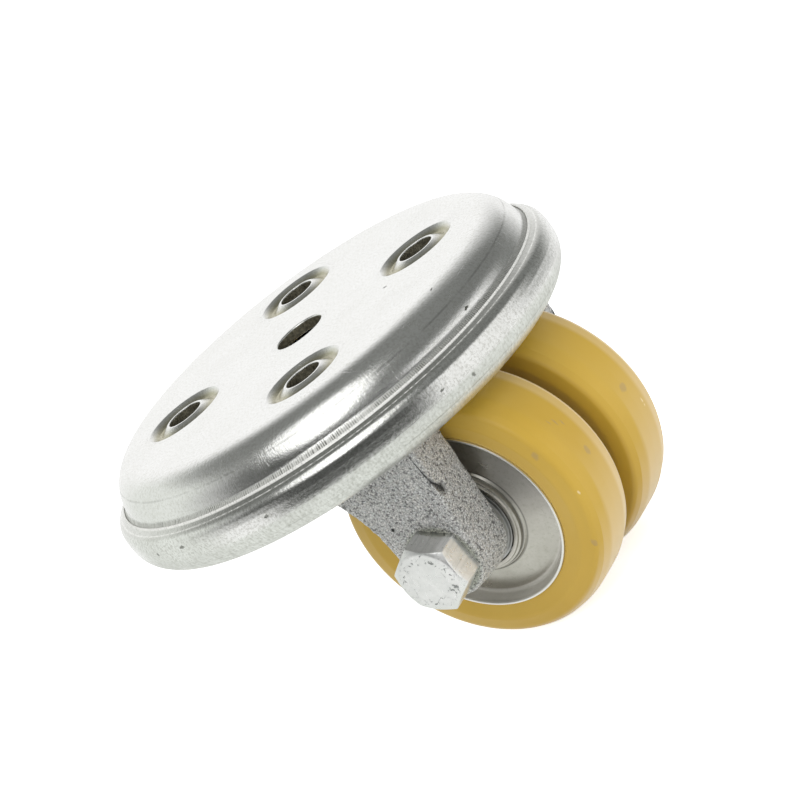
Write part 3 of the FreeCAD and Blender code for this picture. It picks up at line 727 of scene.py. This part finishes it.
def makeRing(size):
    bottom = size["beadZ"] - size["bead"]
    seat, seatZ = size["outer"] - size["wall"], bottom + size["wall"]
    lipFoot, lipInner, lipTop = size["lipInner"] + size["lipLean"], size["lipInner"], size["lipTop"]
    mesh = turnedMesh("retainingRing", [
        (lipFoot, size["lipLow"], 0), (lipInner, lipTop, 0.2), (lipInner + size["lipFlat"], lipTop, 0.25),
        (lipInner + size["lipWidth"], lipTop - size["lipFall"], 0.3),
        (size["creaseRadius"], size["creaseZ"], size["creaseRounding"]),
        (size["outer"], size["crownZ"], size["crownRounding"]), (size["outer"], bottom, size["bead"]),
        (size["opening"], bottom, 0.7), (size["opening"], seatZ, 0.7), (seat, seatZ, size["bead"] - size["wall"]),
        (seat, size["slopeZ"], 0.2), (lipFoot, size["lipLow"], 0),
    ], "ring", size["segments"], stepMm=0.6, arcSteps=12)
    ring = newPiece("rolledRing", cleanShell(mesh), finishes["ring"])
    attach(ring, "head")
    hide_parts("retaining_ring")
    print("retaining ring:", len(mesh.polygons), "faces")


makeRing(rolledRing)


# wheels: cast tyre on a turned hub

wheel = {
    "radius": 49.5, "width": 28.0, "gap": 8.6, "edge": 8.0, "crown": 0.05,
    "creaseRadius": 48.4, "creaseDrop": 3.5, "creaseInset": 1.6, "creaseFall": 0.7, "sideDip": 0.8,
    "hubRim": 35.3, "rimWidth": 0.8, "dish": 32.9, "dishDepth": 5.4, "webTop": 1.9,
    "boss": 19.5, "bossRise": 1.2, "bossFoot": 1.7, "bossSteps": [  # out from the boss, above the side, rounding
        (1.2, -1.2, 0.3), (0.7, -1.1, 0.2), (0.4, 0.3, 0.2), (-0.3, 0.4, 0.2)], "bossInset": 0.6,
    "bearingDrop": 1.0, "bearing": 17.5, "bearingWidth": 10.0, "shoulder": 2.0, "segments": 220,
}


def makeWheel(size, side, name, body):
    inner = size["gap"] / 2
    outer = inner + size["width"]
    middle = (outer + inner) / 2
    boss, bossTop = size["boss"], outer + size["bossRise"]
    bearingFoot = outer - size["bearingDrop"] - size["bearingWidth"]
    tyreSide = [
        (size["hubRim"], outer - size["sideDip"], 0.25), (size["radius"] - size["edge"], outer + size["crown"], 6.0),
        (size["creaseRadius"] - size["creaseInset"], outer - size["creaseFall"], 2.6),
        (size["creaseRadius"], outer - size["creaseDrop"], 0.25), (size["radius"], outer - size["edge"], 9.0),
    ]
    hubSide = [
        (size["hubRim"], outer, 0.25), (size["hubRim"] - size["rimWidth"], outer, 0.25),
        (size["dish"], outer - size["dishDepth"], 1.4), (boss + size["bossFoot"], outer - size["webTop"], 0.4),
        *[(boss + out, outer + rise, rounding) for out, rise, rounding in size["bossSteps"]],
        (boss - size["bossInset"], bossTop, 0.3), (size["bearing"], bossTop, 0.3), (size["bearing"], bearingFoot, 0),
        (size["bearing"] - size["shoulder"], bearingFoot, 0.3),
    ]
    seam = [(size["hubRim"], middle, 0)]
    ridge = [(size["radius"] + size["crown"], middle, 60.0)]
    for half, between, label, node, slotName in (
            (tyreSide, ridge, "Tyre", "tread", "polyurethane"), (hubSide, [], "Hub", "hub", "hub_metal")):
        other = [(radius, inner + outer - height, rounding) for radius, height, rounding in reversed(half)]
        mesh = turnedMesh(
            name + label, seam + half + between + other + seam, label.lower(), size["segments"],
            alongAxle if side > 0 else againstAxle, tuple(axlePoint), stepMm=1.0)
        piece = newPiece(name + label, cleanShell(mesh), finishes[label.lower()])
        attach(piece, body)
        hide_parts(name + "_" + node)
        print(name, label.lower() + ":", len(mesh.polygons), "faces")


makeWheel(wheel, -1, "left", "left_wheel")
makeWheel(wheel, 1, "right", "right_wheel")


# fork: rough casting, its edges rounded and its skin lumpy

casting = {
    "voxel": 0.9 * mm, "smoothing": 4, "lump": 0.12 * mm, "lumpScale": 160.0, "grit": 0.05 * mm, "gritScale": 650.0,
}


def makeFork(size):
    mesh = cleanShell(frame["nodes"]["fork"].data.copy(), 1e-5)
    blank = newPiece("forkBlank", mesh, finishes["casting"])
    remesh = blank.modifiers.new("castSkin", "REMESH")
    remesh.mode = "VOXEL"
    remesh.voxel_size = size["voxel"]
    soften = blank.modifiers.new("softEdges", "SMOOTH")
    soften.factor = 0.5
    soften.iterations = size["smoothing"]
    skin = evaluated(blank)
    normals = [vertex.normal.copy() for vertex in skin.vertices]
    for vertex, normal in zip(skin.vertices, normals):
        lump = noise.fractal(vertex.co * size["lumpScale"], 0.6, 2.0, 3)
        grit = noise.noise(vertex.co * size["gritScale"])
        vertex.co += normal * (lump * size["lump"] + grit * size["grit"])
    fork = newPiece("castFork", cleanShell(skin, 1e-7), finishes["casting"])
    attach(fork, "swivel_fork")
    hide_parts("fork")
    print("fork:", len(skin.polygons), "faces")


makeFork(casting)


# axle bolt: hexagon head with a turned chamfer, shaft and thread

axleBolt = {
    "flats": 24.0, "faceShare": 0.965, "chamfer": 30.0, "height": 11.4, "turn": 4.5, "cornerRounding": 0.35,
    "steps": 360, "faceRings": 10, "axisGap": 0.05,
    "chamferRings": (0.06, 0.3, 0.6, 0.85), "wallRings": (0.25, 0.5, 0.75, 1.0),
    "shank": 8.5, "shankEnd": 52.5, "shankStep": 0.5, "shaft": 8.0, "tip": 6.8, "tipLength": 1.2, "overlap": 1.0,
    "segments": 96, "nutFace": 71.6, "pitch": 2.0, "threadTurns": 0.9, "ridge": 0.55, "ridgeSink": 0.4,
}


def hexReach(angle, flats, turn):  # distance from the axis to the hexagon's side
    local = (angle - math.radians(90 + turn)) % (math.pi / 3) - math.pi / 6
    return flats / 2 / math.cos(local)


def hexHeadMesh(size):
    face = size["flats"] / 2 * size["faceShare"]
    slope = math.tan(math.radians(size["chamfer"]))
    faceRings = [(face * i / size["faceRings"], 0.0) for i in range(size["faceRings"] + 1)]
    shell = bmesh.new()
    rows = []
    for step in range(size["steps"]):
        angle = math.tau * step / size["steps"]
        side = hexReach(angle, size["flats"], size["turn"])
        fall = (side - face) * slope
        rounding = min(size["cornerRounding"], fall * 0.8 + 0.12)
        wallTop = fall + rounding
        outline = faceRings + [(face + (side - face) * share, fall * share) for share in size["chamferRings"]]
        outline += [(side - rounding * 0.35, fall - rounding * 0.05), (side - rounding * 0.08, fall + rounding * 0.3),
                    (side, wallTop)]
        outline += [(side, wallTop + (size["height"] - wallTop) * share) for share in size["wallRings"]]
        outline.append((size["axisGap"], size["height"]))
        rows.append([shell.verts.new((
            axlePoint.x + radius * mm * math.cos(angle), boltLow.y + drop * mm,
            axlePoint.z + radius * mm * math.sin(angle))) for radius, drop in outline])
    for i, row in enumerate(rows):
        other = rows[(i + 1) % len(rows)]
        for j in range(len(row) - 1):
            shell.faces.new((row[j], other[j], other[j + 1], row[j + 1]))
    return closeShell(shell, bpy.data.meshes.new("boltHead"))


def threadTree():  # ridge of round section along a spiral round the axle
    tree, ids, given = newShapeTree("threadRidge", dict.fromkeys(("Radius", "Pitch", "Turns", "Ridge"), "Float"))
    spiral = addNode(tree, "GeometryNodeCurveSpiral", {
        "Resolution": 64, "Rotations": given["Turns"], "Start Radius": given["Radius"], "End Radius": given["Radius"],
        "Height": Value(given["Turns"]) * given["Pitch"]})
    section = addNode(tree, "GeometryNodeCurvePrimitiveCircle", {
        "Resolution": 8, "Radius": given["Ridge"]}, mode="RADIUS")
    swept = addNode(tree, "GeometryNodeCurveToMesh", {"Curve": spiral, "Profile Curve": section, "Fill Caps": True})
    endShapeTree(tree, given, swept)
    return tree, ids


def threadMesh(size):
    tree, ids = threadTree()
    values = {
        "Radius": (size["shaft"] - size["ridge"] * size["ridgeSink"]) * mm, "Pitch": size["pitch"] * mm,
        "Turns": size["threadTurns"], "Ridge": size["ridge"] * mm, "Turn": alongAxle,
        "Place": (axlePoint.x, size["nutFace"] * mm, axlePoint.z), "Finish": finishes["fastener"]}
    return cleanShell(applyTree("boltThread", bpy.data.meshes.new("boltThread"), tree, ids, values))


def makeBolt(size):
    start, end = boltLow.y / mm + size["height"] - size["overlap"], boltHigh.y / mm
    shaft = turnedMesh("boltShaft", [
        (size["axisGap"], start, 0), (size["shank"], start, 0), (size["shank"], size["shankEnd"], 0),
        (size["shaft"], size["shankEnd"] + size["shankStep"], 0), (size["shaft"], end - size["tipLength"], 0.3),
        (size["tip"], end, 0.3), (size["axisGap"], end, 0),
    ], "fastener", size["segments"], alongAxle, tuple(axlePoint), stepMm=4.0)
    shapes = {"boltHead": hexHeadMesh(size), "boltShaft": cleanShell(shaft), "boltThread": threadMesh(size)}
    pieces = [newPiece(name, mesh, finishes["fastener"]) for name, mesh in shapes.items()]
    for piece in pieces:
        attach(piece, "swivel_fork")
    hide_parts("axle_bolt")


makeBolt(axleBolt)
print("axle bolt made")


# CAD pieces that stay get their finishes, and some get rounded edges

stayingPieces = {
    "bearing": ["upper_balls", "lower_balls", "left_inner_rings", "right_inner_rings",
                "left_outer_rings", "right_outer_rings"],
    "fastener": ["axle_nut", "nut_washer"],
    "spacer": ["centre_spacer", "left_arm_spacer", "right_arm_spacer", "left_bearing_spacer", "right_bearing_spacer"],
    "shield": ["left_bearing_shields", "right_bearing_shields"],
    "nylon": ["nut_insert"],
}
edgeRounding = {  # millimetres
    "axle_nut": 0.5, "nut_washer": 0.3, "left_arm_spacer": 0.3, "right_arm_spacer": 0.3, "centre_spacer": 0.3,
}


def roundEdges(node, width):
    part = frame["nodes"][node]
    weld = part.modifiers.new("joinedEdges", "WELD")
    weld.merge_threshold = 1e-5
    bevel = part.modifiers.new("roundedEdges", "BEVEL")
    bevel.width = width * mm
    bevel.segments = 2
    bevel.limit_method = "ANGLE"
    bevel.angle_limit = math.radians(35)


for finishName, nodes in stayingPieces.items():
    for node in nodes:
        materials = frame["nodes"][node].data.materials
        materials.clear()
        materials.append(finishes[finishName])
for node, width in edgeRounding.items():
    roundEdges(node, width)
print("staying pieces dressed")


# studio

studio = {
    "target": Vector((0.0173, 0.0007, -0.0388)), "distance": 1.0848, "azimuth": 42.38, "elevation": 16.11,
    "roll": 37.74, "lens": 140.25, "sensor": 36.0,
    "floorHalf": 3.4, "floorDrop": 0.4 * mm, "floorGlow": 0.75, "floorTone": 0.97, "ambient": 0.84,
    "lamps": [  # name, azimuth, elevation, distance, width, height, power, mirrored
        ("keyLamp", 22.0, 46.5, 1.7, 1.54, 2.02, 9.0, True),
        ("rimLamp", 104.0, 0.0, 1.3, 0.75, 0.3, 3.6, False),
    ],
    "patchTint": (0.97, 1.0, 0.96),
    "patches": [  # grey parts of the mirrored room: turns from the camera, softness, heights, softness, shade
        ((-400, 400), 1, (-120, -27), 3, 0.86),
        ((-155, -88), 10, (-40, 45), 10, 0.82),
        ((-86, -20), 19, (-8, 70), 9, 0.13),
        ((-54, 28), 7, (-24, 11), 3, 0.07),
        ((90, 138), 14, (-16, 20), 6, 0.21),
        ((-8, 146), 18, (10, 120), 5, 0.18),
        ((-160, -60), 10, (42, 120), 10, 0.2),
        ((-400, 400), 1, (47, 120), 15, 0.2),
    ],
}
white = (1, 1, 1, 1)


def viewDirection(azimuth, elevation):
    a, e = math.radians(azimuth), math.radians(elevation)
    return Vector((math.sin(a) * math.cos(e), -math.cos(a) * math.cos(e), math.sin(e)))


def placeToward(name, data, azimuth, elevation, distance, roll=0.0):  # looks at the studio's target
    back = viewDirection(azimuth, elevation)
    item = newPiece(name, data)
    item.location = studio["target"] + back * distance
    upright = (-back).to_track_quat("-Z", "Y").to_matrix()
    item.rotation_euler = (upright @ Matrix.Rotation(-math.radians(roll), 3, "Z")).to_euler()
    return item


def makeCamera(size):
    data = bpy.data.cameras.new("photoCamera")
    data.lens, data.sensor_width = size["lens"], size["sensor"]
    data.clip_start, data.clip_end = 0.05, 50.0
    scene.camera = placeToward("photoCamera", data, size["azimuth"], size["elevation"], size["distance"], size["roll"])


def makeLamp(name, azimuth, elevation, distance, width, height, power, mirrored):
    data = bpy.data.lights.new(name, "AREA")
    data.shape = "ELLIPSE"
    data.size, data.size_y = width, height
    data.energy = power
    lamp = placeToward(name, data, azimuth, elevation, distance)
    lamp.visible_camera = False
    lamp.visible_glossy = mirrored


def patchGroup():  # soft-edged part of the room between two turns and two heights
    labels = ("Turn", "Left", "Right", "Side Softness", "Height", "Foot", "Top", "End Softness")
    group, given = newGroup("roomPatch", [], dict.fromkeys(labels, 0.0), ["Mask"])
    aside, upward = (given[i].band(*given[i + 1:i + 4]) for i in (0, 4))
    addNode(group, "NodeGroupOutput", {"Mask": aside * upward})
    return group


def roomTone(tree, size):  # brightness of the room by direction
    sight = Value(addNode(tree, "ShaderNodeTexCoord").outputs["Generated"])
    axes = (viewDirection(size["azimuth"] + 90, 0), viewDirection(size["azimuth"], 0), upAxis)
    aside, ahead, upward = (vectorNode("DOT_PRODUCT", sight, axis) for axis in axes)
    turn = mathNode("DEGREES", mathNode("ARCTAN2", aside, ahead))
    height = mathNode("DEGREES", mathNode("ARCSINE", upward))
    group = patchGroup()
    layers = []
    for turns, sideSoft, heights, endSoft, shade in size["patches"]:
        mask, = useGroup(tree, group, {
            "Turn": turn, "Left": turns[0], "Right": turns[1], "Side Softness": sideSoft,
            "Height": height, "Foot": heights[0], "Top": heights[1], "End Softness": endSoft})
        layers.append((mask, (*[shade * tint for tint in size["patchTint"]], 1)))
    return layered(tree, white, *layers)


def makeWorld(size):
    world = bpy.data.worlds.new("studioWorld")
    scene.world = world
    world.use_nodes = True
    tree = world.node_tree
    tree.nodes.clear()
    path = addNode(tree, "ShaderNodeLightPath").outputs
    seen = larger(Value(path["Is Camera Ray"]), path["Is Transmission Ray"])
    ambient = (*[size["ambient"]] * 3, 1)
    tone = layered(tree, ambient, (path["Is Glossy Ray"], roomTone(tree, size)), (seen, white))
    light = addNode(tree, "ShaderNodeBackground", {"Color": tone})
    addNode(tree, "ShaderNodeOutputWorld", {"Surface": light})


def makeFloor(size):
    finish, *_ = newFinish("paleFloor")
    path = addNode(finish.node_tree, "ShaderNodeLightPath")
    setShader(finish, {
        "Base Color": (*[size["floorTone"]] * 3, 1), "Roughness": 0.9, "Specular IOR Level": 0.0,
        "Emission Color": white, "Emission Strength": Value(path.outputs["Is Camera Ray"]) * size["floorGlow"]})
    half, height = size["floorHalf"], cadBox[0].z - size["floorDrop"]
    mesh = bpy.data.meshes.new("studioFloor")
    corners = ((-half, -half), (half, -half), (half, half), (-half, half))
    mesh.from_pydata([(x, y, height) for x, y in corners], [], [(0, 1, 2, 3)])
    floor = newPiece("studioFloor", mesh, finish)
    floor.visible_glossy = False


makeCamera(studio)
makeWorld(studio)
makeFloor(studio)
for lamp in studio["lamps"]:
    makeLamp(*lamp)
scene.view_settings.view_transform = "Standard"
print("studio ready")
